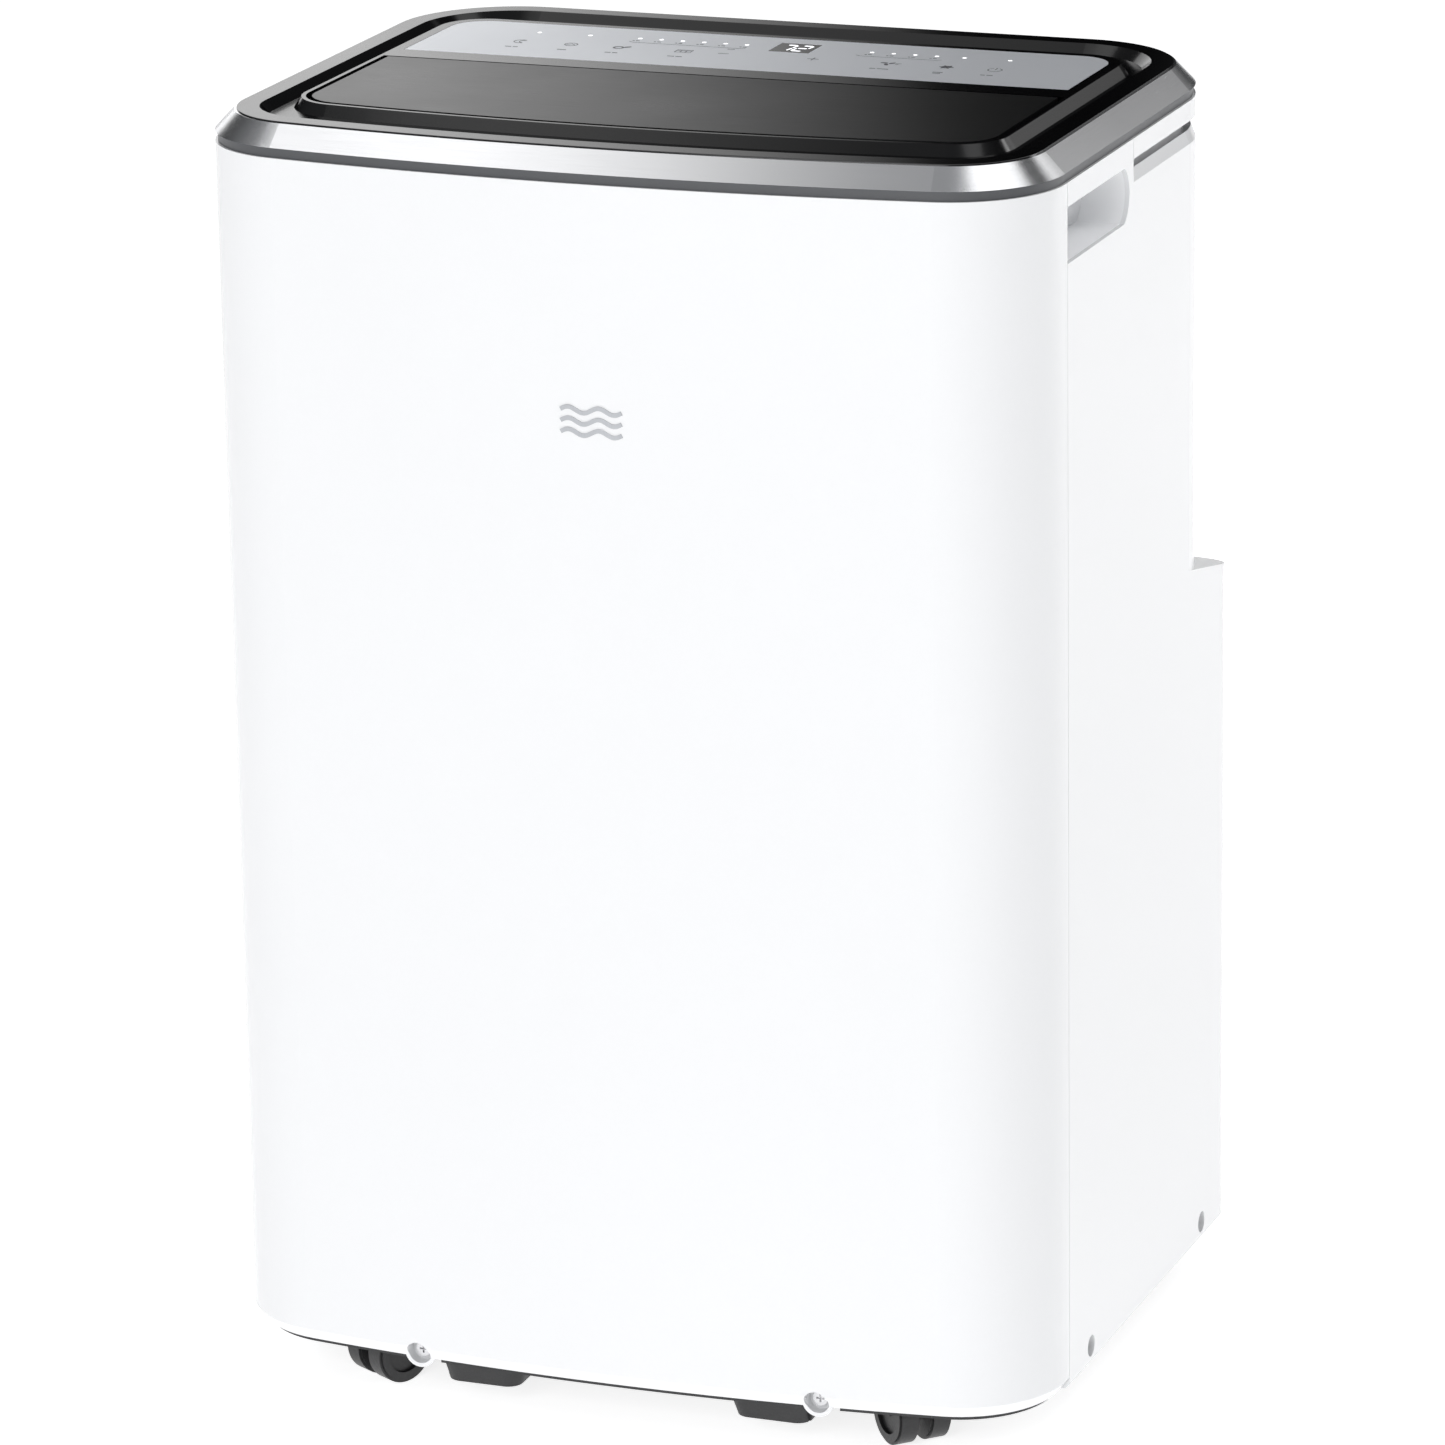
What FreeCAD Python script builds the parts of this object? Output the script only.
import FreeCAD, Part
import math
import os
from FreeCAD import Vector

# Portable air conditioner on four twin-wheel casters, in millimetres.
# +X is to the right seen from the front, +Y to the rear, +Z up. The origin is
# on the floor under the middle of the bounding box.

# ---------------------------------------------------------------- driving sizes
WIDTH = 470.0            # across the side walls
DEPTH = 386.0            # front of the bowed panel to back of the lower rear step
HEIGHT = 710.0           # floor to the top of the island on the cover
FRONT_BOW = 20.0         # how far the front bulges over its own corners
FRONT_R = 60.0           # plan radius of the two front corners
BACK_R = 75.0            # plan radius of the two upper rear corners
STEP_R = 36.0            # plan radius of the lower rear step's corners
STEP_DEPTH = 24.0        # how far the lower rear stands out from the upper rear
STEP_TOP = 415.0         # height of the step's top at its front edge
STEP_SLOPE = 0.2         # fall of the step's top per mm towards the rear
WALL = 2.6               # moulded wall of the casings
GAP = 0.5                # seam between two casings
EDGE_Z = 30.0            # bottom edge of the casings above the floor
FRONT_CHAMFER_H = 7.0    # bevel along the front panel's bottom edge
FRONT_CHAMFER_IN = 5.0
SIDE_CHAMFER = 2.5       # bevel along the side and rear panels' bottom edge
PANEL_TURN = 4.0         # front panel reaches this far behind its corner arcs

RIM_DROP = 1.0           # cover's rim lies this far under the island
TRIM_IN = 10.5           # steel bevel: how far it leans in, and how high it is
TRIM_H = 11.0
TRIM_THICK = 1.3
TRIM_LIP = 0.8           # rim of the cover above the steel's upper edge
GASKET_H = 5.5           # dark strip between steel and white casing
GASKET_IN = 1.5
SKIRT_H = 11.0           # white band over the groove at the side and rear
GROOVE_H = 2.5
SHOULDER_IN = 4.0        # bevel that leads up into the groove
SHOULDER_H = 10.0

RIM_W = 12.0             # flat rim of the cover
MOAT_DEPTH = 5.0         # hollow between rim and island
MOAT_SLOPE = 5.0
COVER_SKIN = 2.5
FLAP_W = 383.0           # louvre flap over the outlet
FLAP_REAR = 0.0          # y of the flap's rear edge
FLAP_FRONT = -132.0      # y of its front edge at the middle
FLAP_CORNER = 22.0
FLAP_THICK = 4.0
FLAP_GAP = 3.4           # open line around the flap
ISLAND_LIP = 2.4         # raised line around flap and control panel
RAIL_W = 20.0            # bar between flap and control panel
PANEL_REAR = 107.0       # y of the control panel's rear edge
PANEL_CORNER = 20.0
PANEL_THICK = 2.4
FLAP_AXIS_IN = 12.0      # hinge line ahead of the flap's rear edge
FLAP_AXIS_DROP = 18.0    # hinge line under the flap's top
FLAP_SWEEP = 1.0         # clearance of the flap's rear edge as it turns

HANDLE_LENGTH = 105.0    # hand pocket, from the front seam backwards
HANDLE_LOW = 649.0
HANDLE_HIGH = 679.0
HANDLE_DEPTH = 24.0

SWIVEL_FRONT = (145.0, -132.0)   # swivel axes of the casters, mirrored left to right
SWIVEL_REAR = (150.0, 122.0)
CASTER_TURN = {"front_right": 45.0, "front_left": -30.0, "rear_right": 20.0, "rear_left": -25.0}
WHEEL_R = 18.0
WHEEL_W = 12.0
WHEEL_SPACE = 7.0        # between the two wheels of a caster
CASTER_TRAIL = 12.0
AXLE_R = 2.5
STEM_R = 4.0
WELL_R = 38.0            # hollow in the base pan over each caster
WELL_TOP = 52.0
RUN_CLEAR = 0.06         # radial clearance of turning fits

EXHAUST_X = 72.0         # centre of the exhaust outlet
EXHAUST_Z = 286.0
EXHAUST_R = 75.0         # bore for a 150 mm hose connector
EXHAUST_WALL = 3.0
EXHAUST_LENGTH = 28.0

# ---------------------------------------------------------------- derived sizes
HALF = WIDTH / 2
FRONT_Y = -DEPTH / 2
REAR_Y = DEPTH / 2
UPPER_BACK = REAR_Y - STEP_DEPTH
BOW_R = (HALF ** 2 + FRONT_BOW ** 2) / (2 * FRONT_BOW)
BOW_CY = FRONT_Y + BOW_R
CORNER_X = HALF - FRONT_R
CORNER_Y = BOW_CY - math.sqrt((BOW_R - FRONT_R) ** 2 - CORNER_X ** 2)
BOW_ANGLE = math.degrees(math.atan2(CORNER_X, BOW_CY - CORNER_Y))
SEAM_Y = CORNER_Y + PANEL_TURN

RIM_Z = HEIGHT - RIM_DROP
TRIM_TOP = RIM_Z - TRIM_LIP
TRIM_BOTTOM = TRIM_TOP - TRIM_H
GASKET_BOTTOM = TRIM_BOTTOM - GASKET_H
CASE_TOP = GASKET_BOTTOM
SKIRT_BOTTOM = CASE_TOP - SKIRT_H
SHOULDER_TOP = SKIRT_BOTTOM - GROOVE_H
SHOULDER_BOTTOM = SHOULDER_TOP - SHOULDER_H
MOAT_Z = RIM_Z - MOAT_DEPTH
COVER_UNDER = MOAT_Z - COVER_SKIN
ISLAND_HALF = FLAP_W / 2 + FLAP_GAP + ISLAND_LIP
PANEL_FRONT = FLAP_REAR + RAIL_W
PANEL_HALF = FLAP_W / 2 - 1.0
FLAP_AXIS_Y = FLAP_REAR - FLAP_AXIS_IN
FLAP_AXIS_Z = HEIGHT - FLAP_AXIS_DROP
HANDLE_REAR = SEAM_Y + HANDLE_LENGTH
GROOVE_FRONT = HANDLE_REAR + 7.0
PARTITION_Z = 374.0
PARTITION_T = 3.0
PAN_INSET = FRONT_CHAMFER_IN + WALL + 0.9
PAN_BOTTOM = EDGE_Z - 3.0
SPOUT_END = REAR_Y - PAN_INSET       # both drain spouts end here, inside the rear panel
PAN_FLOOR = EDGE_Z
PAN_TOP = 58.0
BACK_SPLIT = EXHAUST_X + EXHAUST_R + 13.0    # side panels end here on the rear face
CUP_WALL = 2.0
CUP_BACK = HALF - WALL - HANDLE_DEPTH

SIDE_SCREW_Y = (SEAM_Y + 38.0, REAR_Y - 70.0)
SIDE_SCREW_Z = EDGE_Z + 11.0
CUP_DEPTH = PAN_INSET - WALL - 0.2   # cups over the side screws reach in to the pan

# The upper fan blows up into the outlet, the lower one back into the exhaust.
UPPER_FAN_Z = 522.0
UPPER_SCROLL_R = 118.0
UPPER_SCROLL_Y = (-70.0, 28.0)
UPPER_WHEEL_R = 95.0
UPPER_WHEEL_Y = (-56.0, 18.0)
DUCT_HALF = 110.0
DUCT_BASE = 648.0
DUCT_NECK = 676.0
LOWER_FAN_Y = 30.0
LOWER_SCROLL_R = 88.0
LOWER_FAN_Z = EXHAUST_Z + EXHAUST_R + 3.0 - LOWER_SCROLL_R
LOWER_SCROLL_X = (EXHAUST_X - EXHAUST_R - 2.0, EXHAUST_X + EXHAUST_R + 2.0)
LOWER_WHEEL_R = 68.0
LOWER_WHEEL_X = (LOWER_SCROLL_X[0] + 22.0, LOWER_SCROLL_X[1] - 16.0)
SHEET = 2.0
SHAFT_R = 4.0
EVAPORATOR = ((-150.0, 150.0), (112.0, 148.0), (422.0, 655.0))
CONDENSER = ((-205.0, -30.0), (140.0, 176.0), (64.0, 364.0))
COMPRESSOR = (-92.0, -62.0)
COMPRESSOR_R = 55.0
COMPRESSOR_Z = (62.0, 262.0)
SLINGER = (-66.0, 74.0)
SLINGER_R = 34.0
GRILLE_HALF = 140.0
GRILLE_Z = (436.0, 656.0)
LOWER_GRILLE_X = (-150.0, -28.0)
LOWER_GRILLE_Z = (62.0, 362.0)
PIPE_Y = 104.0
DRAIN_LOW = (110.0, 45.0)
DRAIN_HIGH = (-86.0, 386.0)
DRAIN_R = 6.0
CORD_AT = (128.0, 150.0)
FOOT_X = 84.0
FOOT_SIZE = (52.0, 34.0, 13.0)
BOSS_X = 115.0
BOSS_R = 9.0
SCREW_R = 2.0
LED_ROW_Y = 84.0
LED_X = ([-136.5, -106.5] + [-77.0 + 12.5 * n for n in range(6)]
         + [58.0 + 12.4 * n for n in range(4)] + [111.0, 137.0])
DISPLAY_X = (2.0, 25.5)
DISPLAY_Y = (71.5, 95.5)

TUBE_R = 4.0
GROMMET_R = 6.8
BOTTLE_REACH = COMPRESSOR_R + 29.0     # accumulator beside the compressor
PARTS = {}
SCREWS = []


# ---------------------------------------------------------------- small helpers
def box(x, y, z):
    """A box from three (low, high) pairs."""
    return Part.makeBox(x[1] - x[0], y[1] - y[0], z[1] - z[0], Vector(x[0], y[0], z[0]))


def rod(r, length, start, axis):
    return Part.makeCylinder(r, length, Vector(*start), Vector(*axis))


def ring(r_out, r_in, length, start, axis):
    return rod(r_out, length, start, axis).cut(rod(r_in, length, start, axis))


def arc(cx, cy, r, a0, a1, z):
    """An arc edge about (cx, cy) from angle a0 to a1, in degrees."""
    def at(a):
        return Vector(cx + r * math.cos(math.radians(a)), cy + r * math.sin(math.radians(a)), z)
    return Part.Arc(at(a0), at((a0 + a1) / 2), at(a1)).toShape()


def joined(edges):
    """A closed wire of edges in order, with straight lines where two don't meet."""
    made = []
    for here, after in zip(edges, edges[1:] + edges[:1]):
        made.append(here)
        end, start = here.lastVertex(True).Point, after.firstVertex(True).Point
        if end.distanceToPoint(start) > 1e-6:
            made.append(Part.makeLine(end, start))
    return Part.Wire(made)


def body_wire(inset, z, back=UPPER_BACK, back_r=BACK_R):
    """The casing's plan: bowed front, rounded corners, straight sides and back."""
    turn = -90 + BOW_ANGLE
    back_x, back_y = HALF - back_r, back - back_r
    return joined([
        arc(0, BOW_CY, BOW_R - inset, -90 - BOW_ANGLE, turn, z),
        arc(CORNER_X, CORNER_Y, FRONT_R - inset, turn, 0, z),
        arc(back_x, back_y, back_r - inset, 0, 90, z),
        arc(-back_x, back_y, back_r - inset, 90, 180, z),
        arc(-CORNER_X, CORNER_Y, FRONT_R - inset, 180, 270 - BOW_ANGLE, z),
    ])


def step_wire(inset, z):
    return body_wire(inset, z, REAR_Y, STEP_R)


def island_wire(grow, z, rear=PANEL_REAR, front=FLAP_FRONT, half=FLAP_W / 2, front_r=FLAP_CORNER,
                rear_r=PANEL_CORNER):
    """Plan of the island, flap or control panel: bowed front edge when front_r is the flap's."""
    half, rear, front = half + grow, rear + grow, front - grow
    front_r, rear_r = max(front_r + grow, 0.8), max(rear_r + grow, 0.8)
    bow_cy = front + BOW_R
    corner_x = half - front_r
    corner_y = bow_cy - math.sqrt((BOW_R - front_r) ** 2 - corner_x ** 2)
    lean = math.degrees(math.atan2(corner_x, bow_cy - corner_y))
    return joined([
        arc(0, bow_cy, BOW_R, -90 - lean, -90 + lean, z),
        arc(corner_x, corner_y, front_r, -90 + lean, 0, z),
        arc(half - rear_r, rear - rear_r, rear_r, 0, 90, z),
        arc(-(half - rear_r), rear - rear_r, rear_r, 90, 180, z),
        arc(-corner_x, corner_y, front_r, 180, 270 - lean, z),
    ])


def rounded(x, y, r, z):
    """A rounded rectangle as a wire."""
    return joined([
        arc(x[1] - r, y[0] + r, r, -90, 0, z),
        arc(x[1] - r, y[1] - r, r, 0, 90, z),
        arc(x[0] + r, y[1] - r, r, 90, 180, z),
        arc(x[0] + r, y[0] + r, r, 180, 270, z),
    ])


def slab(wire, height):
    return Part.Face(wire).extrude(Vector(0, 0, height))


def loft(low, high):
    return Part.makeLoft([low, high], True, True)


def mirrored(shape):
    return shape.mirror(Vector(0, 0, 0), Vector(1, 0, 0))


def turned(shape, degrees, about, axis=(0, 0, 1)):
    made = shape.copy()
    made.rotate(Vector(*about), Vector(*axis), degrees)
    return made


def yz_prism(points, x):
    """A prism along X over a polygon of (y, z) points."""
    wire = Part.makePolygon([Vector(x[0], y, z) for y, z in points + points[:1]])
    return Part.Face(wire).extrude(Vector(x[1] - x[0], 0, 0))


def one(shapes):
    return shapes[0].multiFuse(shapes[1:]).removeSplitter()


def keep(name, shape):
    """Files a node under its name, as its separate closed solids."""
    solids = shape.Solids
    PARTS[name] = solids[0] if len(solids) == 1 else Part.makeCompound(solids)


# ---------------------------------------------------------------- casings
def under_step(drop):
    """Everything below the sloping top of the rear step, lowered by drop."""
    far = 400.0
    def top(y):
        return STEP_TOP - drop - STEP_SLOPE * (y - UPPER_BACK)
    return yz_prism([(-far, -far), (far, -far), (far, top(far)), (-far, top(-far))], (-far, far))


def casing():
    """Side and rear shell before it is parted into panels."""
    low = EDGE_Z + SIDE_CHAMFER
    outside = one([
        loft(step_wire(SIDE_CHAMFER, EDGE_Z), step_wire(0, low)),
        slab(step_wire(0, low), STEP_TOP + STEP_DEPTH - low).common(under_step(0)),
        slab(body_wire(0, low), CASE_TOP - low),
    ])
    inside = one([
        slab(step_wire(SIDE_CHAMFER + WALL, EDGE_Z - 1), SIDE_CHAMFER + 1 + WALL),
        slab(step_wire(WALL, low + WALL), STEP_TOP).common(under_step(WALL)),
        slab(body_wire(WALL, low + WALL), CASE_TOP),
    ])
    shell = outside.cut(inside)
    around = slab(body_wire(-5, SHOULDER_BOTTOM), CASE_TOP + 5 - SHOULDER_BOTTOM)
    shoulder = loft(body_wire(0, SHOULDER_BOTTOM), body_wire(SHOULDER_IN, SHOULDER_TOP))
    behind = box((-HALF - 9, HALF + 9), (GROOVE_FRONT, REAR_Y + 9), (0, HEIGHT))
    return shell.cut(around.cut(shoulder).common(behind))


def front_panel():
    crease = EDGE_Z + FRONT_CHAMFER_H
    outside = one([
        loft(body_wire(FRONT_CHAMFER_IN, EDGE_Z), body_wire(0, crease)),
        slab(body_wire(0, crease), CASE_TOP - crease),
    ])
    inside = one([
        loft(body_wire(FRONT_CHAMFER_IN + WALL, EDGE_Z), body_wire(WALL, crease)),
        slab(body_wire(WALL, crease), CASE_TOP - crease),
    ])
    ahead = box((-HALF - 9, HALF + 9), (FRONT_Y - 9, SEAM_Y - GAP / 2), (0, HEIGHT))
    panel = outside.cut(inside).common(ahead)
    boss_z = EDGE_Z + 3.0
    face = BOW_CY - math.sqrt((BOW_R - FRONT_CHAMFER_IN) ** 2 - BOSS_X ** 2)
    deep = PAN_INSET - FRONT_CHAMFER_IN + 12.0
    bosses = [rod(BOSS_R, deep, (s * BOSS_X, face, boss_z), (0, 1, 0)) for s in (-1, 1)]
    panel = one([panel] + bosses)
    for s in (-1, 1):
        panel = panel.cut(rod(BOSS_R - 2.2, 16.0, (s * BOSS_X, face - 9, boss_z), (0, 1, 0)))
        panel = panel.cut(rod(SCREW_R, 40.0, (s * BOSS_X, face - 9, boss_z), (0, 1, 0)))
    keep("front_panel", panel)
    for s in (-1, 1):
        screw((s * BOSS_X, face + 4.4, boss_z), (0, 1, 0), 14.6)


def screw(at, axis, length):
    """A cross-head screw whose head's face is at a point; all of them are one node."""
    x, y, z = at
    under = [c + 2.6 * a for c, a in zip(at, axis)]
    made = one([rod(4.2, 2.6, at, axis), rod(SCREW_R, length - 2.6, under, axis)])
    SCREWS.append(made.cut(cross_slot(x, y, z, axis)))


def cross_slot(x, y, z, axis):
    """A cross recess at the head face of a screw whose shank runs along axis."""
    deep, wide, across = 1.6, 1.0, 4.6
    if axis[1]:
        y = (y - 1, y + deep)
        return one([box((x - across / 2, x + across / 2), y, (z - wide / 2, z + wide / 2)),
                    box((x - wide / 2, x + wide / 2), y, (z - across / 2, z + across / 2))])
    x = (x - deep, x + 1) if axis[0] < 0 else (x - 1, x + deep)
    return one([box(x, (y - across / 2, y + across / 2), (z - wide / 2, z + wide / 2)),
                box(x, (y - wide / 2, y + wide / 2), (z - across / 2, z + across / 2))])


def handle_opening(grow, x):
    """The hand pocket's outline along X: open at the seam, with a rounded rear end."""
    low, high, rear = HANDLE_LOW - grow, HANDLE_HIGH + grow, HANDLE_REAR + grow
    start, sag = SEAM_Y - 9, 9.0 + grow
    mid = (low + high) / 2
    straight = [Part.makeLine(Vector(x[0], start, high), Vector(x[0], start, low)),
                Part.makeLine(Vector(x[0], start, low), Vector(x[0], rear - sag, low))]
    end = Part.Arc(Vector(x[0], rear - sag, low), Vector(x[0], rear, mid),
                   Vector(x[0], rear - sag, high)).toShape()
    back = Part.makeLine(Vector(x[0], rear - sag, high), Vector(x[0], start, high))
    return Part.Face(Part.Wire(straight + [end, back])).extrude(Vector(x[1] - x[0], 0, 0))


def side_panels(shell):
    region = box((0, HALF + 9), (SEAM_Y + GAP / 2, UPPER_BACK - BACK_R + 1), (0, HEIGHT))
    corner = box((BACK_SPLIT, HALF + 9), (UPPER_BACK - BACK_R, REAR_Y + 9), (0, HEIGHT))
    panel = shell.common(one([region, corner]))
    panel = panel.cut(handle_opening(0, (HALF - WALL - 3, HALF + 3)))
    for y in SIDE_SCREW_Y:
        cup = rod(8.0, CUP_DEPTH, (HALF - WALL, y, SIDE_SCREW_Z), (-1, 0, 0))
        well = rod(6.0, WALL + CUP_DEPTH - 1.0, (HALF + 1, y, SIDE_SCREW_Z), (-1, 0, 0))
        panel = one([panel, cup]).cut(well)
        panel = panel.cut(rod(SCREW_R, 20.0, (HALF, y, SIDE_SCREW_Z), (-1, 0, 0)))
        for sign in (-1, 1):
            screw((sign * (HALF - WALL - CUP_DEPTH + 4.6), y, SIDE_SCREW_Z), (-sign, 0, 0), 12.0)
    keep("side_panel_right", panel)
    keep("side_panel_left", mirrored(panel))


def handle_cups():
    y0 = SEAM_Y + 2.0
    outside = handle_opening(CUP_WALL, (CUP_BACK - CUP_WALL, HALF - WALL)).common(
        box((0, HALF), (y0 - CUP_WALL, REAR_Y), (0, HEIGHT)))
    inside = handle_opening(0, (CUP_BACK, HALF)).common(box((0, HALF), (y0, REAR_Y), (0, HEIGHT)))
    cup = outside.cut(inside)
    boss_y, boss_z = y0 + 7.0, HANDLE_HIGH - 6.5
    tower = rod(5.0, HANDLE_DEPTH - 8.0, (CUP_BACK - 1, boss_y, boss_z), (1, 0, 0))
    bore = rod(SCREW_R, HANDLE_DEPTH + 9, (CUP_BACK - 6, boss_y, boss_z), (1, 0, 0))
    cup = one([cup, tower]).cut(bore)
    keep("handle_cup_right", cup)
    keep("handle_cup_left", mirrored(cup))
    for sign in (-1, 1):
        screw((sign * (CUP_BACK + HANDLE_DEPTH - 6.4), boss_y, boss_z), (-sign, 0, 0), 24.6)


def slats(x, y, z, pitch, thick, lean):
    """Level louvre slats between two uprights, leaning back and down."""
    count = int((z[1] - z[0]) / pitch)
    made = []
    for n in range(1, count):
        mid = z[0] + n * (z[1] - z[0]) / count
        made.append(yz_prism([(y[0], mid - thick / 2 - lean), (y[1], mid - thick / 2),
                              (y[1], mid + thick / 2), (y[0], mid + thick / 2 - lean)], x))
    return made


def rear_panels(shell):
    split = STEP_TOP + 3.0
    width = (-BACK_SPLIT + GAP, BACK_SPLIT - GAP)
    back = (UPPER_BACK - BACK_R, REAR_Y + 9)
    upper = shell.common(box(width, back, (split, HEIGHT)))
    window = box((-GRILLE_HALF, GRILLE_HALF), (UPPER_BACK - 9, UPPER_BACK + 9), GRILLE_Z)
    keep("rear_panel_upper", upper.cut(window))

    lower = shell.common(box(width, back, (0, split - GAP)))
    lower = lower.cut(rod(EXHAUST_R + EXHAUST_WALL + 0.3, 30, (EXHAUST_X, REAR_Y - 20, EXHAUST_Z), (0, 1, 0)))
    x, z = LOWER_GRILLE_X, LOWER_GRILLE_Z
    lower = lower.cut(box(x, (REAR_Y - 9, REAR_Y + 9), z))
    lower = one([lower, box(((x[0] + x[1]) / 2 - 2, (x[0] + x[1]) / 2 + 2), (REAR_Y - WALL, REAR_Y), z)]
                + slats(x, (REAR_Y - 6.0, REAR_Y), z, 11.0, 2.4, 3.0))
    for at in (DRAIN_LOW, DRAIN_HIGH):
        lower = lower.cut(rod(14.0, 20, (at[0], REAR_Y - 9, at[1]), (0, 1, 0)))
    lower = lower.cut(rod(9.0, 20, (CORD_AT[0], REAR_Y - 9, CORD_AT[1]), (0, 1, 0)))
    keep("rear_panel_lower", lower)


def filter_door():
    """Lift-off intake grille with the dust filter clipped behind it."""
    half, z = GRILLE_HALF - 0.4, (GRILLE_Z[0] + 0.4, GRILLE_Z[1] - 0.4)
    y = (UPPER_BACK - 7.0, UPPER_BACK - 0.2)
    edge = 11.0
    frame = box((-half, half), y, z).cut(
        box((-half + edge, half - edge), (y[0] - 1, y[1] + 1), (z[0] + edge, z[1] - edge)))
    grip = box((-34.0, 34.0), y, (z[1] - edge - 16.0, z[1] - edge + 1))
    hollow = box((-30.0, 30.0), (y[0] + 1.8, y[1] + 1), (z[1] - edge - 13.0, z[1] - edge - 1))
    bars = [box((s * 46.0 - 1.6, s * 46.0 + 1.6), (y[0], y[0] + 3.0), (z[0] + 1, z[1] - 1))
            for s in (-2, -1, 0, 1, 2)]
    louvres = slats((-half + 1, half - 1), (y[0], y[1]), (z[0] + edge, z[1] - edge - 16.0), 9.0, 2.2, 2.5)
    keep("intake_grille", one([frame, grip] + bars + louvres).cut(hollow))
    f = (y[0] - 6.0, y[0])
    net_half, net_z = half - 5.0, (z[0] + 5, z[1] - 5)
    frame = box((-net_half, net_half), f, net_z)
    for n in range(3):
        for m in range(2):
            w = (2 * net_half - 6.0) / 3
            h = (net_z[1] - net_z[0] - 6.0) / 2
            x0, z0 = -net_half + 5 + n * w, net_z[0] + 5 + m * h
            frame = frame.cut(box((x0, x0 + w - 4), (f[0] - 1, f[1] + 1), (z0, z0 + h - 4)))
    keep("filter_frame", frame)
    net_y = f[0] + 2.0
    net = box((-net_half + 5.0, net_half - 5.0), (net_y, net_y + 0.8), (net_z[0] + 5.0, net_z[1] - 5.0))
    keep("filter_mesh", net.cut(frame))


def top_frame():
    """Ring that ties the casings together under the cover; its rear half shows as the white skirt."""
    low = HANDLE_LOW - 6.0
    ring_in = WALL + 0.4
    front = slab(body_wire(ring_in, low), CASE_TOP - low).cut(slab(body_wire(ring_in + 4, low), CASE_TOP))
    front = front.common(box((-HALF, HALF), (FRONT_Y, GROOVE_FRONT), (0, HEIGHT)))
    behind = box((-HALF, HALF), (GROOVE_FRONT + GAP, REAR_Y), (0, HEIGHT))
    inner_in = SHOULDER_IN + WALL + 0.6
    back = slab(body_wire(inner_in, low), CASE_TOP - low).cut(slab(body_wire(inner_in + 3, low), CASE_TOP))
    skirt = slab(body_wire(0, SKIRT_BOTTOM), SKIRT_H).cut(
        slab(body_wire(inner_in + 1, SKIRT_BOTTOM), SKIRT_H))
    cup = handle_opening(CUP_WALL + 0.4, (CUP_BACK - 9, HALF))
    window = box((-GRILLE_HALF - 3, GRILLE_HALF + 3), (UPPER_BACK - 20, REAR_Y), (600, GRILLE_Z[1] + 2))
    body = one([front, one([back, skirt]).common(behind), bridge(ring_in, inner_in)])
    keep("top_frame", body.cut(one([cup, mirrored(cup), window])))


def bridge(ring_in, inner_in):
    """Ties the ring's front half to its rear half, which stands further in."""
    y = (GROOVE_FRONT - 3.0, GROOVE_FRONT + GAP + 3.0)
    x = (HALF - inner_in - 3.0, HALF - ring_in - 0.1)
    tie = box(x, y, (HANDLE_LOW - 6.0, CASE_TOP)).cut(
        box((HALF - inner_in, HALF), (GROOVE_FRONT, REAR_Y), (0, SKIRT_BOTTOM)))
    return one([tie, box((-x[1], -x[0]), y, (CASE_TOP - 3.0, CASE_TOP)),
                mirrored(tie), box((-x[1], x[1]), (y[0], y[0] + 4.0), (CASE_TOP - 3.0, CASE_TOP)).cut(
                    box((-x[0], x[0]), (-HALF, HALF), (0, HEIGHT)))])


# ---------------------------------------------------------------- top
def trim_and_gasket():
    outside = loft(body_wire(0, TRIM_BOTTOM), body_wire(TRIM_IN, TRIM_TOP))
    inside = loft(body_wire(TRIM_THICK, TRIM_BOTTOM), body_wire(TRIM_IN + TRIM_THICK, TRIM_TOP))
    keep("steel_trim", outside.cut(inside))
    strip = slab(body_wire(GASKET_IN, GASKET_BOTTOM), GASKET_H).cut(
        slab(body_wire(9.0, GASKET_BOTTOM), GASKET_H))
    keep("trim_gasket", strip)


def top_cover():
    slope = 0.3
    rim_in = TRIM_IN + TRIM_THICK + 0.1
    body = one([
        loft(body_wire(TRIM_THICK + slope, TRIM_BOTTOM), body_wire(TRIM_IN + TRIM_THICK + slope, TRIM_TOP)),
        slab(body_wire(rim_in, TRIM_TOP - 0.2), RIM_Z - TRIM_TOP + 0.2),
        slab(body_wire(9.4, GASKET_BOTTOM), GASKET_H),
    ])
    moat = loft(body_wire(rim_in + RIM_W + MOAT_SLOPE, MOAT_Z), body_wire(rim_in + RIM_W, RIM_Z + 0.001))
    grow = FLAP_GAP + ISLAND_LIP
    island = loft(island_wire(grow + 4.0, MOAT_Z), island_wire(grow, HEIGHT))
    body = one([body.cut(moat), island])
    body = body.cut(slab(body_wire(rim_in + 2.5, GASKET_BOTTOM - 1), COVER_UNDER - GASKET_BOTTOM + 1))
    opening = island_wire(FLAP_GAP, COVER_UNDER - 1, rear=FLAP_REAR - FLAP_GAP, rear_r=0.1)
    body = body.cut(slab(opening, 30))
    body = body.cut(rod(math.hypot(FLAP_AXIS_IN, FLAP_AXIS_DROP) + FLAP_SWEEP, FLAP_W + 2 * FLAP_GAP,
                        (-FLAP_W / 2 - FLAP_GAP, FLAP_AXIS_Y, FLAP_AXIS_Z), (1, 0, 0)))
    seat = rounded_panel(0.3, HEIGHT - PANEL_THICK)
    body = body.cut(slab(seat, 9))
    lights = box((LED_X[0] - 6, LED_X[-1] + 6), (DISPLAY_Y[0] - 4, DISPLAY_Y[1] + 4),
                 (COVER_UNDER - 1, HEIGHT))
    keep("top_cover", body.cut(lights))


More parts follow.
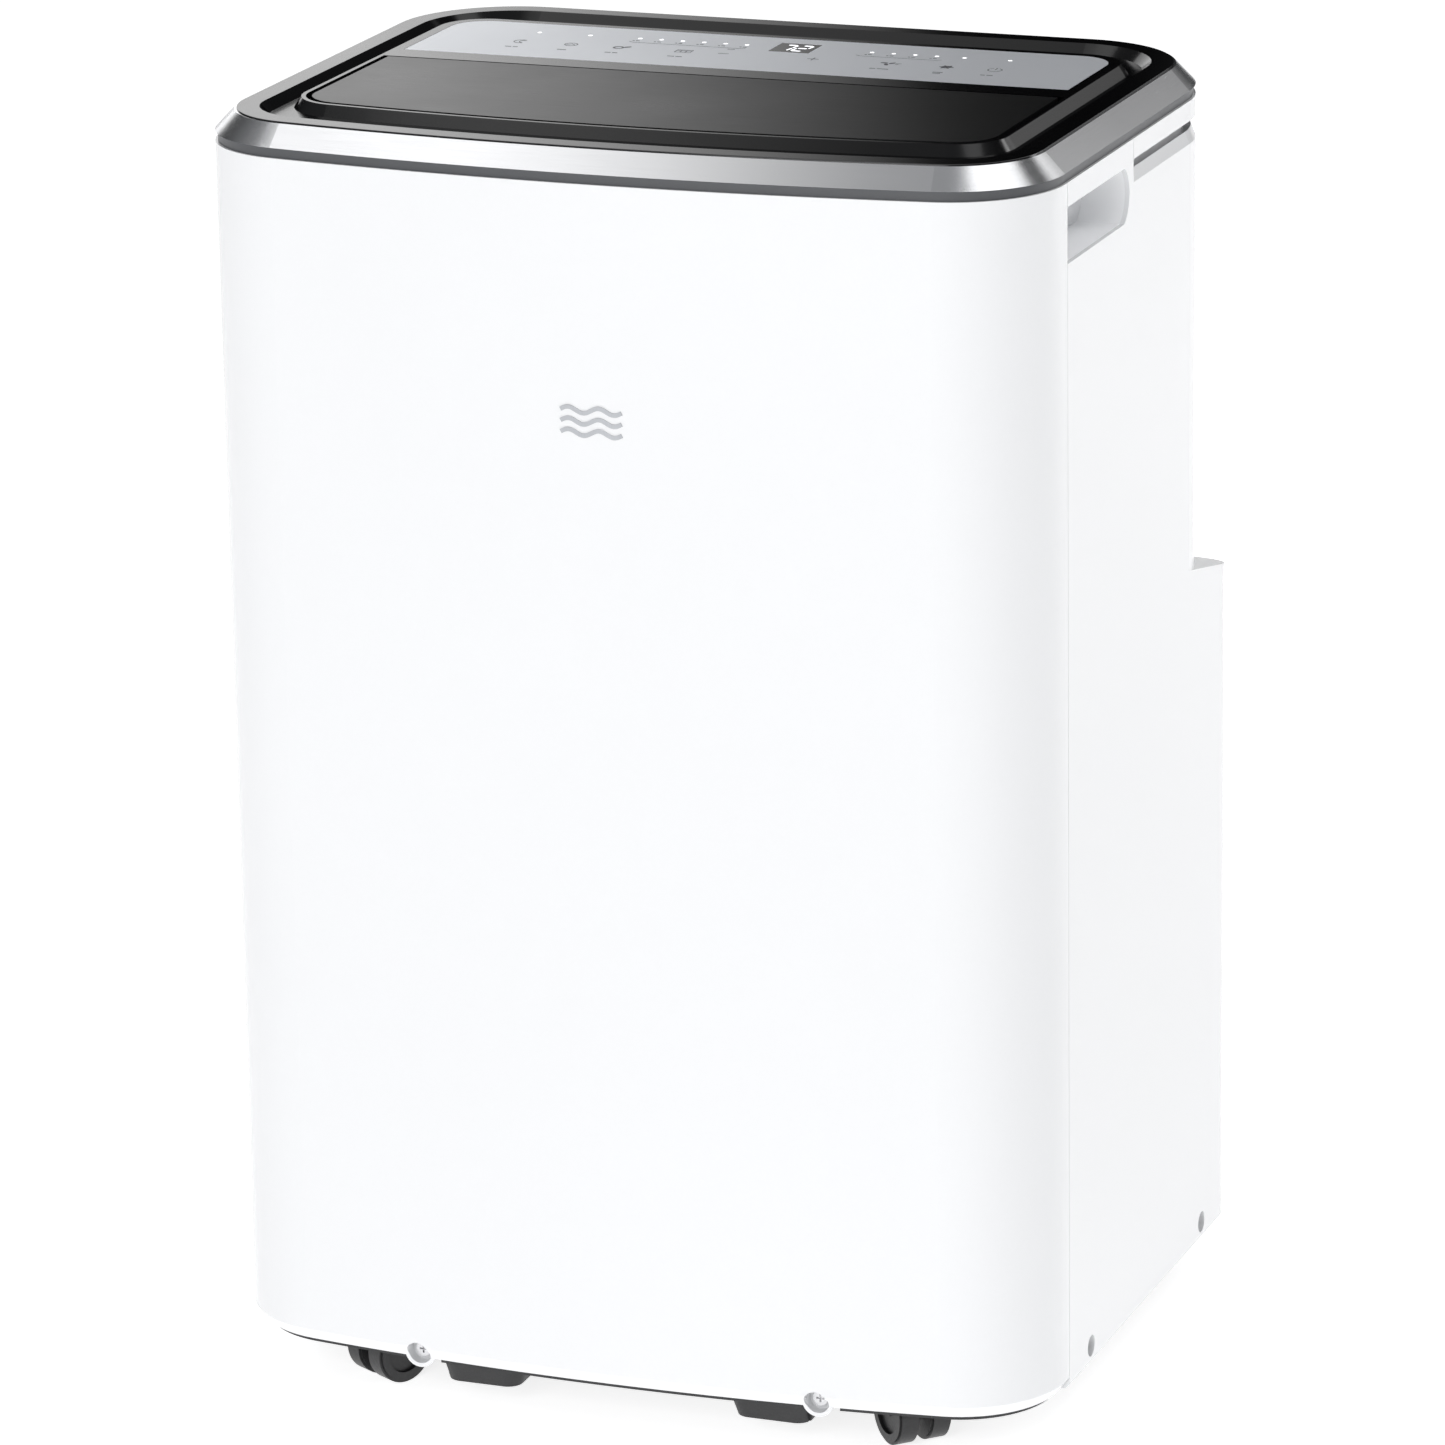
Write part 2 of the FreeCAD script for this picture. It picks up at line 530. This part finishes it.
def rounded_panel(grow, z):
    """Plan of the control panel: rounded at the rear, square at the front."""
    half, rear, front, r = PANEL_HALF + grow, PANEL_REAR + grow, PANEL_FRONT - grow, PANEL_CORNER + grow
    corners = [arc(half - r, rear - r, r, 0, 90, z), arc(-(half - r), rear - r, r, 90, 180, z)]
    base = Part.makeLine(Vector(-half, front, z), Vector(half, front, z))
    return joined([base] + corners)


def control_panel():
    z = HEIGHT - PANEL_THICK
    body = slab(rounded_panel(0, z), PANEL_THICK)
    body = body.cut(box(DISPLAY_X, DISPLAY_Y, (z - 1, HEIGHT + 1)))
    holes = [rod(1.2, PANEL_THICK + 2, (x, LED_ROW_Y, z - 1), (0, 0, 1)) for x in LED_X]
    keep("control_panel", body.cut(Part.makeCompound(holes)))
    lenses = [rod(1.1, 6.0, (x, LED_ROW_Y, HEIGHT - 6.0), (0, 0, 1)) for x in LED_X]
    keep("indicator_lenses", Part.makeCompound(lenses))
    inner = [(a + 0.15, b - 0.15) for a, b in (DISPLAY_X, DISPLAY_Y)]
    keep("display_window", box(inner[0], inner[1], (HEIGHT - 2.2, HEIGHT - 0.1)))
    board = box((-165.0, 165.0), (34.0, 102.0), (COVER_UNDER - 7.0, COVER_UNDER - 5.4))
    digits = box((DISPLAY_X[0] + 1, DISPLAY_X[1] - 1), (DISPLAY_Y[0] + 1, DISPLAY_Y[1] - 1),
                 (COVER_UNDER - 5.4, HEIGHT - 2.3))
    leds = [box((x - 1.5, x + 1.5), (LED_ROW_Y - 1.5, LED_ROW_Y + 1.5), (COVER_UNDER - 5.5, HEIGHT - 6.1))
            for x in LED_X]
    posts = [rod(3.0, 5.4, (s * 158.0, y, COVER_UNDER - 5.4), (0, 0, 1))
             for s in (-1, 1) for y in (40.0, 96.0)]
    keep("display_board", one([board, digits] + leds + posts))


def flap():
    """Louvre flap: a flat plate, squared at its hinge edge, with an ear at each end."""
    z = HEIGHT - FLAP_THICK
    plate = slab(island_wire(0, z, rear=FLAP_REAR, rear_r=0.1), FLAP_THICK)
    sweep = math.hypot(FLAP_AXIS_IN, FLAP_AXIS_DROP)
    reach = rod(sweep, FLAP_W, (-FLAP_W / 2, FLAP_AXIS_Y, FLAP_AXIS_Z), (1, 0, 0))
    ahead = box((-HALF, HALF), (FRONT_Y, FLAP_AXIS_Y), (0, HEIGHT + 9))
    plate = plate.common(one([reach, ahead]))
    ears = []
    for s in (-1, 1):
        x = (184.0, 187.0) if s > 0 else (-187.0, -184.0)
        ear = yz_prism([(FLAP_AXIS_Y - 30, z + 1), (FLAP_AXIS_Y + 6, z + 1),
                        (FLAP_AXIS_Y + 5, FLAP_AXIS_Z), (FLAP_AXIS_Y - 5, FLAP_AXIS_Z)], x)
        knuckle = rod(6.0, 3.0, (x[0], FLAP_AXIS_Y, FLAP_AXIS_Z), (1, 0, 0))
        ears += [ear, knuckle]
    rib = box((-170.0, 170.0), (FLAP_FRONT + 24.0, FLAP_FRONT + 26.0), (z - 3.0, z + 0.5))
    body = one([plate, rib] + ears)
    bore = rod(2.5, 9, (-190, FLAP_AXIS_Y, FLAP_AXIS_Z), (1, 0, 0))
    keep("outlet_flap", body.cut(bore).cut(rod(2.5, 9, (182, FLAP_AXIS_Y, FLAP_AXIS_Z), (1, 0, 0))))
    pins = [rod(2.5, length, (x, FLAP_AXIS_Y, FLAP_AXIS_Z), (1, 0, 0))
            for x, length in ((184.0, 11.0), (-196.0, 12.0))]
    keep("flap_pins", Part.makeCompound(pins))
    motor = rod(9.4, 11.0, (-206.0, FLAP_AXIS_Y, FLAP_AXIS_Z), (1, 0, 0))
    keep("flap_motor", motor.cut(rod(2.5 + RUN_CLEAR, 9, (-199.0, FLAP_AXIS_Y, FLAP_AXIS_Z), (1, 0, 0))))


def outlet_duct():
    """Air way from the upper fan to the flap, with its fixed guide vanes."""
    half = FLAP_W / 2 + FLAP_GAP - SHEET - 0.9
    neck_y = (FLAP_FRONT + 12.0, FLAP_REAR + 12.0)
    fan_y = (UPPER_SCROLL_Y[0] + SHEET, UPPER_SCROLL_Y[1] - SHEET)

    def section(grow, half_x, y, z):
        x = half_x + grow
        points = [(-x, y[0] - grow), (x, y[0] - grow), (x, y[1] + grow), (-x, y[1] + grow)]
        return Part.makePolygon([Vector(px, py, z) for px, py in points + points[:1]])

    def body(grow):
        return one([loft(section(grow, DUCT_HALF, fan_y, DUCT_BASE), section(grow, half, neck_y, DUCT_NECK)),
                    slab(section(grow, half, neck_y, DUCT_NECK), COVER_UNDER - DUCT_NECK)])

    duct = body(SHEET).cut(body(0))
    for x in (-FLAP_W / 2 - 3, FLAP_W / 2 - 3):
        duct = duct.cut(rod(2.5 + RUN_CLEAR, 6, (x, FLAP_AXIS_Y, FLAP_AXIS_Z), (1, 0, 0)))
    keep("outlet_duct", duct)
    vane_y = (neck_y[0], FLAP_AXIS_Y - 16.0)
    vanes = [box((x - 0.8, x + 0.8), vane_y, (DUCT_NECK + 4, DUCT_NECK + 20)) for x in range(-160, 161, 40)]
    bar = box((-half, half), (vane_y[0] + 30, vane_y[0] + 34), (DUCT_NECK + 4, DUCT_NECK + 7))
    keep("guide_vanes", one(vanes + [bar]))


# ---------------------------------------------------------------- base and casters
def swivels():
    """Each caster's name, swivel axis and resting turn."""
    places = {"front": SWIVEL_FRONT, "rear": SWIVEL_REAR}
    for end, (x, y) in places.items():
        for side, sign in (("right", 1), ("left", -1)):
            name = f"{end}_{side}"
            yield name, (sign * x, y), CASTER_TURN[name]


def base_pan():
    outside = slab(body_wire(PAN_INSET, PAN_BOTTOM, REAR_Y, STEP_R), PAN_TOP - PAN_BOTTOM)
    inside = slab(body_wire(PAN_INSET + 3, PAN_FLOOR, REAR_Y, STEP_R), PAN_TOP)
    pan = outside.cut(inside)
    wells, hollows, sockets = [], [], []
    for _, (x, y), _ in swivels():
        wells.append(rod(WELL_R + 2.5, WELL_TOP + 2.5 - PAN_BOTTOM, (x, y, PAN_BOTTOM), (0, 0, 1)))
        hollows.append(rod(WELL_R, WELL_TOP - PAN_BOTTOM + 1, (x, y, PAN_BOTTOM - 1), (0, 0, 1)))
        sockets.append(rod(9.0, 20.0, (x, y, WELL_TOP), (0, 0, 1)))
        hollows.append(rod(STEM_R + RUN_CLEAR, 19.0, (x, y, WELL_TOP - 1), (0, 0, 1)))
    feet = []
    for s in (-1, 1):
        w, d, h = FOOT_SIZE
        x = (s * FOOT_X - w / 2, s * FOOT_X + w / 2)
        y = (FRONT_Y + PAN_INSET + 9, FRONT_Y + PAN_INSET + 9 + d)
        low = rounded((x[0] + 5, x[1] - 5), (y[0] + 3, y[1] - 5), 8.0, PAN_BOTTOM - h)
        feet.append(loft(low, rounded(x, y, 11.0, PAN_BOTTOM + 1)))
    limit = slab(body_wire(PAN_INSET, PAN_BOTTOM, REAR_Y, STEP_R), 90)
    pan = one([pan] + [w.common(limit) for w in wells] + sockets + feet).cut(Part.makeCompound(hollows))
    boss_z = EDGE_Z + 3.0
    for s in (-1, 1):
        pan = pan.cut(box((s * BOSS_X - 11, s * BOSS_X + 11), (FRONT_Y, FRONT_Y + PAN_INSET + 18),
                          (0, boss_z + 11)))
    for y in SIDE_SCREW_Y:
        pan = pan.cut(rod(SCREW_R, WIDTH, (-HALF, y, SIDE_SCREW_Z), (1, 0, 0)))
    x, z = DRAIN_LOW
    pan = one([pan, rod(9.0, 14.0, (x, SPOUT_END - 14.0, z), (0, 1, 0))])
    keep("base_pan", pan.cut(rod(DRAIN_R, 20.0, (x, SPOUT_END - 18.0, z), (0, 1, 0))))


def casters():
    wheel_x = (WHEEL_SPACE / 2, WHEEL_SPACE / 2 + WHEEL_W)
    for name, (x, y), degrees in swivels():
        wheel_y = -CASTER_TRAIL
        tread = one([
            rod(WHEEL_R, WHEEL_W - 2.0, (wheel_x[0] + 1.0, wheel_y, WHEEL_R), (1, 0, 0)),
            rod(WHEEL_R - 1.5, WHEEL_W, (wheel_x[0], wheel_y, WHEEL_R), (1, 0, 0)),
        ])
        dish = rod(WHEEL_R - 6.0, 2.5, (wheel_x[1] - 2.0, wheel_y, WHEEL_R), (1, 0, 0))
        wheel = tread.cut(dish)
        axle = rod(AXLE_R, 2 * wheel_x[1] - 2.0, (1.0 - wheel_x[1], wheel_y, WHEEL_R), (1, 0, 0))
        spine_x = WHEEL_SPACE / 2 - 0.7
        spine = one([
            yz_prism([(9.0, WELL_TOP - 6), (-WHEEL_R - CASTER_TRAIL + 6, WELL_TOP - 6),
                      (wheel_y - 7, WHEEL_R), (wheel_y - 4, WHEEL_R - 6), (wheel_y + 5, WHEEL_R - 6),
                      (8.0, WELL_TOP - 22)],
                     (-spine_x, spine_x)),
            rod(11.0, 5.0, (0, 0, WELL_TOP - 6), (0, 0, 1)),
            rod(STEM_R, 20.0, (0, 0, WELL_TOP - 3), (0, 0, 1)),
        ])
        hood = ring(WHEEL_R + 4.0, WHEEL_R + 2.0, 2 * wheel_x[1], (-wheel_x[1], wheel_y, WHEEL_R), (1, 0, 0))
        hood = hood.common(box((-60, 60), (-60, 60), (WHEEL_R + 6.0, WELL_TOP - 2)))
        fork = one([spine, hood]).cut(rod(AXLE_R + RUN_CLEAR, 60, (-30, wheel_y, WHEEL_R), (1, 0, 0)))
        for part, shape in (("fork", fork), ("wheels", one([wheel, mirrored(wheel), axle]))):
            placed = turned(shape, degrees, (0, 0, 0))
            placed.translate(Vector(x, y, 0))
            keep(f"caster_{part}_{name}", placed)


# ---------------------------------------------------------------- air and cooling parts
def exhaust_collar():
    start = REAR_Y - EXHAUST_LENGTH
    tube = ring(EXHAUST_R + EXHAUST_WALL, EXHAUST_R, EXHAUST_LENGTH, (EXHAUST_X, start, EXHAUST_Z), (0, 1, 0))
    behind = (EXHAUST_X, REAR_Y - WALL - 3.2, EXHAUST_Z)
    flange = ring(EXHAUST_R + 9.0, EXHAUST_R + 1.0, 3.0, behind, (0, 1, 0))
    keep("exhaust_collar", one([tube, flange]))


def blower_wheel(r, length, blades):
    """A forward-curved drum wheel along +Z from z = 0, with its hub at the closed end."""
    disc = rod(r, 2.0, (0, 0, 0), (0, 0, 1))
    rim = ring(r, r - 12.0, 3.0, (0, 0, length - 3.0), (0, 0, 1))
    hub = rod(SHAFT_R + 6.0, 18.0, (0, 0, 0), (0, 0, 1))
    made = [disc, rim, hub]
    for n in range(blades):
        blade = Part.makeBox(11.0, 1.4, length - 2.0, Vector(r - 11.6, -0.7, 1.0))
        blade.rotate(Vector(r - 6.0, 0, 0), Vector(0, 0, 1), 32)
        blade.rotate(Vector(0, 0, 0), Vector(0, 0, 1), n * 360.0 / blades)
        made.append(blade)
    return one(made).common(rod(r, length, (0, 0, 0), (0, 0, 1))).cut(rod(SHAFT_R, 60, (0, 0, -9), (0, 0, 1)))


def upper_fan():
    y, z = UPPER_SCROLL_Y, UPPER_FAN_Z
    def body(grow):
        across = DUCT_HALF + grow
        wide = y[1] - y[0] - 2 * (SHEET - grow)
        return one([rod(UPPER_SCROLL_R - SHEET + grow, wide, (0, y[0] + SHEET - grow, z), (0, 1, 0)),
                    box((-across, across), (y[0] + SHEET - grow, y[1] - SHEET + grow), (z, DUCT_BASE))])
    scroll = body(SHEET).cut(body(0))
    scroll = scroll.cut(rod(80.0, 9, (0, y[1] - 5, z), (0, 1, 0)))
    scroll = scroll.cut(rod(SHAFT_R + 4, 9, (0, y[0] - 2, z), (0, 1, 0)))
    keep("upper_fan_scroll", scroll)
    wheel = blower_wheel(UPPER_WHEEL_R, UPPER_WHEEL_Y[1] - UPPER_WHEEL_Y[0], 26)
    wheel.rotate(Vector(0, 0, 0), Vector(1, 0, 0), -90)
    wheel.translate(Vector(0, UPPER_WHEEL_Y[0], z))
    keep("upper_fan_wheel", wheel)
    motor = one([rod(44.0, 40.0, (0, y[0] - 46.0, z), (0, 1, 0)),
                 rod(56.0, 6.0, (0, y[0] - 6.0, z), (0, 1, 0))])
    keep("upper_fan_motor", motor.cut(rod(SHAFT_R + RUN_CLEAR, 40, (0, y[0] - 30, z), (0, 1, 0))))
    keep("upper_fan_shaft", rod(SHAFT_R, 66.0, (0, y[0] - 28.0, z), (0, 1, 0)))


def lower_fan():
    x, y, z = LOWER_SCROLL_X, LOWER_FAN_Y, LOWER_FAN_Z
    end = REAR_Y - EXHAUST_LENGTH - 1.0
    def body(grow, reach):
        r = LOWER_SCROLL_R - SHEET + grow
        low = EXHAUST_Z - EXHAUST_R - 1 - grow
        span = (x[0] + SHEET - grow, x[1] - SHEET + grow)
        return one([rod(r, span[1] - span[0], (span[0], y, z), (1, 0, 0)),
                    box(span, (y, reach), (low, z + r))])
    scroll = body(SHEET, end).cut(body(0, end + 1))
    scroll = scroll.cut(rod(56.0, 9, (x[0] - 3, y, z), (1, 0, 0)))
    scroll = scroll.cut(rod(SHAFT_R + 4, 9, (x[1] - 5, y, z), (1, 0, 0)))
    keep("lower_fan_scroll", scroll)
    wheel = blower_wheel(LOWER_WHEEL_R, LOWER_WHEEL_X[1] - LOWER_WHEEL_X[0], 22)
    wheel.rotate(Vector(0, 0, 0), Vector(0, 1, 0), -90)
    wheel.translate(Vector(LOWER_WHEEL_X[1], y, z))
    keep("lower_fan_wheel", wheel)
    motor = one([rod(38.0, 34.0, (x[1] + 6.0, y, z), (1, 0, 0)), rod(50.0, 6.0, (x[1], y, z), (1, 0, 0))])
    keep("lower_fan_motor", motor.cut(rod(SHAFT_R + RUN_CLEAR, 30, (x[1] - 1, y, z), (1, 0, 0))))
    keep("lower_fan_shaft", rod(SHAFT_R, 62.0, (x[1] + 28.0, y, z), (-1, 0, 0)))


def coil(size, rows, pitch):
    """Finned block along X: plates on tubes, which stand out a little at both ends."""
    x, y, z = size
    count = int((x[1] - x[0] - 16.0) / pitch)
    fins = [box((x[0] + 8 + n * pitch, x[0] + 9 + n * pitch), y, z) for n in range(count + 1)]
    spots = [((y[0] + y[1]) / 2, z[0] + (n + 0.5) * (z[1] - z[0]) / rows) for n in range(rows)]
    return one(fins + [rod(TUBE_R, x[1] - x[0], (x[0], ty, tz), (1, 0, 0)) for ty, tz in spots]), spots


def bends(spots, x, sign):
    """Return bends that join neighbouring tube ends in pairs."""
    made = []
    for (y0, z0), (_, z1) in zip(spots[0::2], spots[1::2]):
        r = (z1 - z0) / 2
        bend = Part.makeTorus(r, TUBE_R, Vector(x, y0, (z0 + z1) / 2), Vector(0, 1, 0))
        side = (x, x + 60) if sign > 0 else (x - 60, x)
        made.append(bend.common(box(side, (y0 - 30, y0 + 30), (z0 - 30, z1 + 30))))
    return made


def coils():
    for name, size, rows in (("evaporator_coil", EVAPORATOR, 8), ("condenser_coil", CONDENSER, 10)):
        block, spots = coil(size, rows, 15.0)
        (left, right), _, _ = size
        keep(name, one([block] + bends(spots, right, 1) + bends(spots[1:-1], left, -1)))


def compressor():
    (x, y), (low, high) = COMPRESSOR, COMPRESSOR_Z
    can = rod(COMPRESSOR_R, high - low, (x, y, low), (0, 0, 1))
    can = can.makeFillet(14.0, [e for e in can.Edges if len(e.Vertexes) == 1])
    foot = rod(COMPRESSOR_R + 20.0, 3.0, (x, y, low - 3.0), (0, 0, 1)).cut(
        Part.makeCompound([rod(GROMMET_R + 0.2, 9.0, at, (0, 0, 1)) for at in feet_at(low - 6.0)]))
    keep("compressor", one([can, foot, rod(6.0, 14.0, (x, y, high - 1.0), (0, 0, 1))]))
    bottle = rod(25.0, 120.0, (x - BOTTLE_REACH, y, low + 40.0), (0, 0, 1))
    keep("accumulator", bottle.makeFillet(12.0, [e for e in bottle.Edges if len(e.Vertexes) == 1]))
    grommets, bolts = [], []
    top = low + 4.0
    for at in feet_at(PAN_FLOOR):
        sleeve = one([rod(13.0, low - 3.0 - PAN_FLOOR, at, (0, 0, 1)),
                      rod(GROMMET_R, top - PAN_FLOOR, at, (0, 0, 1))])
        grommets.append(sleeve.cut(rod(3.0, 60, at, (0, 0, 1))))
        bolts.append(one([rod(3.0, top - PAN_FLOOR, at, (0, 0, 1)),
                          rod(6.5, 4.0, (at[0], at[1], top), (0, 0, 1))]))
    keep("compressor_grommets", Part.makeCompound(grommets))
    keep("compressor_bolts", Part.makeCompound(bolts))


def feet_at(z):
    (x, y), reach = COMPRESSOR, COMPRESSOR_R + 11.0
    return [(x + reach * math.cos(math.radians(a)), y + reach * math.sin(math.radians(a)), z)
            for a in (60, 180, 300)]


def pipe(points, r, bend):
    """A bent pipe: straight runs joined by tangent arcs of radius bend."""
    points = [Vector(*p) for p in points]
    edges, last = [], points[0]
    for before, at, after in zip(points, points[1:], points[2:]):
        a, b = (before - at).normalize(), (after - at).normalize()
        angle = a.getAngle(b)
        cut = bend / math.tan(angle / 2)
        middle = (a + b).normalize() * (bend / math.sin(angle / 2) - bend)
        start, end = at + a * cut, at + b * cut
        edges += [Part.makeLine(last, start), Part.Arc(start, at + middle, end).toShape()]
        last = end
    edges.append(Part.makeLine(last, points[-1]))
    path = Part.Wire(edges)
    way = (points[1] - points[0]).normalize()
    profile = Part.Wire([Part.makeCircle(r, points[0], way)])
    return path.makePipeShell([profile], True, False)


def pipes():
    """Hot gas to the condenser, liquid to the evaporator, cold gas back to the compressor."""
    x, y = COMPRESSOR
    bottle, (low, high) = x - BOTTLE_REACH, COMPRESSOR_Z
    left, back = CONDENSER[0][0], sum(CONDENSER[1]) / 2
    half_row = (CONDENSER[2][1] - CONDENSER[2][0]) / 20
    first, last = CONDENSER[2][0] + half_row, CONDENSER[2][1] - half_row
    cold_x, cold_y = EVAPORATOR[0][0], sum(EVAPORATOR[1]) / 2
    half_row = (EVAPORATOR[2][1] - EVAPORATOR[2][0]) / 16
    cold_first, cold_last = EVAPORATOR[2][0] + half_row, EVAPORATOR[2][1] - half_row
    side = left - 12.0
    hot = [(x, y, high + 13.0), (x, y, last), (x, back - 40, last), (side, back - 40, last),
           (side, back, last), (left, back, last)]
    liquid = [(left, back, first), (side, back, first), (side, PIPE_Y, first), (side, PIPE_Y, cold_last),
              (side, cold_y, cold_last), (cold_x, cold_y, cold_last)]
    cold = [(cold_x, cold_y, cold_first), (bottle, cold_y, cold_first), (bottle, PIPE_Y - 14, cold_first),
            (bottle, PIPE_Y - 14, last + 11), (bottle, y, last + 11), (bottle, y, low + 160.0)]
    feed = [(bottle, y, low + 40.0), (bottle, y, low + 20.0), (x - COMPRESSOR_R, y, low + 20.0)]
    runs = [pipe(hot, TUBE_R, 5.0), pipe(liquid, 2.0, 5.0), pipe(cold, 5.0, 11.0), pipe(feed, 5.0, 9.0)]
    keep("refrigerant_pipes", Part.makeCompound(runs))


def partition():
    plate = slab(step_wire(WALL + 1.5, PARTITION_Z), PARTITION_T)
    x, y, _ = EVAPORATOR
    top = PARTITION_Z + PARTITION_T
    tray = box((x[0] - 24, x[1] + 24), (y[0] - 8, y[1] + 8), (top - 1, top + 22)).cut(
        box((x[0] - 22, x[1] + 22), (y[0] - 6, y[1] + 6), (top, top + 30)))
    holes = [rod(r, 30, (px, py, PARTITION_Z - 9), (0, 0, 1)) for px, py, r in (
        (COMPRESSOR[0] - BOTTLE_REACH, PIPE_Y - 14, 7.0), (CONDENSER[0][0] - 12.0, PIPE_Y, 4.0))]
    holes.append(rod(12.0, 20.0, (DRAIN_HIGH[0], SPOUT_END, DRAIN_HIGH[1]), (0, 1, 0)))
    spout = rod(10.5, SPOUT_END - y[1] - 6, (DRAIN_HIGH[0], y[1] + 6, DRAIN_HIGH[1]), (0, 1, 0))
    bore = rod(DRAIN_R, 60.0, (DRAIN_HIGH[0], y[1] + 1, DRAIN_HIGH[1]), (0, 1, 0))
    keep("partition_tray", one([plate, tray, spout]).cut(one(holes)).cut(bore))


def drains():
    """Rubber plugs on the drain spouts, pulled off backwards to empty the machine."""
    plugs = {"drain_plug_low": DRAIN_LOW, "drain_plug_high": DRAIN_HIGH}
    for name, (x, z) in plugs.items():
        cap = rod(11.0, 6.0, (x, SPOUT_END + 0.3, z), (0, 1, 0))
        plug = rod(DRAIN_R - RUN_CLEAR, 8.3, (x, SPOUT_END - 8.0, z), (0, 1, 0))
        tab = box((x - 2.0, x + 2.0), (SPOUT_END + 5.0, REAR_Y - 0.4), (z - 8, z + 8))
        keep(name, one([cap, plug, tab]))


def electrics():
    x, y, z = (20.0, 186.0), (-160.0, -104.0), (77.0, 207.0)
    case = box(x, y, z).cut(box((x[0] + 2, x[1] - 2), (y[0] - 1, y[1] - 2), (z[0] + 2, z[1] - 2)))
    keep("control_box", case)
    keep("control_box_lid", box(x, (y[0] - 2.0, y[0]), z))
    board = box((x[0] + 10, x[1] - 10), (y[1] - 12, y[1] - 10.4), (z[0] + 10, z[1] - 10))
    studs = [rod(3, 8.4, (px, y[1] - 10.4, pz), (0, 1, 0))
             for px in (x[0] + 18, x[1] - 18) for pz in (z[0] + 18, z[1] - 18)]
    relay = [box((x[0] + 24 + 26 * n, x[0] + 42 + 26 * n), (y[1] - 28, y[1] - 12), (z[1] - 46, z[1] - 24))
             for n in range(4)]
    keep("control_board", one([board] + studs + relay))
    keep("cord_gland", one([ring(8.9, 4.2, 14.0, (CORD_AT[0], REAR_Y - 14.2, CORD_AT[1]), (0, 1, 0)),
                            ring(12.0, 4.2, 3.0, (CORD_AT[0], REAR_Y - WALL - 3.2, CORD_AT[1]), (0, 1, 0))]))


def water_parts():
    (x, z), y = SLINGER, CONDENSER[1][0] - 11.0
    disc = rod(SLINGER_R, 3.0, (x, y, z), (0, 1, 0))
    paddle = box((x + SLINGER_R - 9, x + SLINGER_R), (y, y + 7), (z - 1, z + 1))
    paddles = [turned(paddle, a, (x, y, z), (0, 1, 0))
               for a in range(0, 360, 45)]
    hub = rod(7.0, 6.0, (x, y, z), (0, 1, 0))
    shaft = rod(2.0, 20.5, (x, y - 20.0, z), (0, 1, 0))
    keep("slinger_wheel", one([disc, hub, shaft] + paddles))
    body = one([rod(20.0, 34.0, (x, y - 37.0, z), (0, 1, 0)),
                box((x - 16, x + 16), (y - 37.0, y - 8.0), (PAN_FLOOR, z - 8))])
    keep("slinger_motor", body.cut(rod(2.0 + RUN_CLEAR, 30, (x, y - 21.0, z), (0, 1, 0))))


def main():
    shell = casing()
    front_panel()
    side_panels(shell)
    rear_panels(shell)
    handle_cups()
    filter_door()
    top_frame()
    trim_and_gasket()
    top_cover()
    control_panel()
    flap()
    outlet_duct()
    base_pan()
    casters()
    exhaust_collar()
    upper_fan()
    lower_fan()
    coils()
    compressor()
    pipes()
    partition()
    drains()
    electrics()
    water_parts()
    keep("housing_screws", Part.makeCompound(SCREWS))
    os.makedirs("parts", exist_ok=True)
    for name, shape in PARTS.items():
        if not shape.isValid():
            print("not valid:", name)
        shape.exportStep(f"parts/{name}.step")
    print(len(PARTS), "nodes")


main()
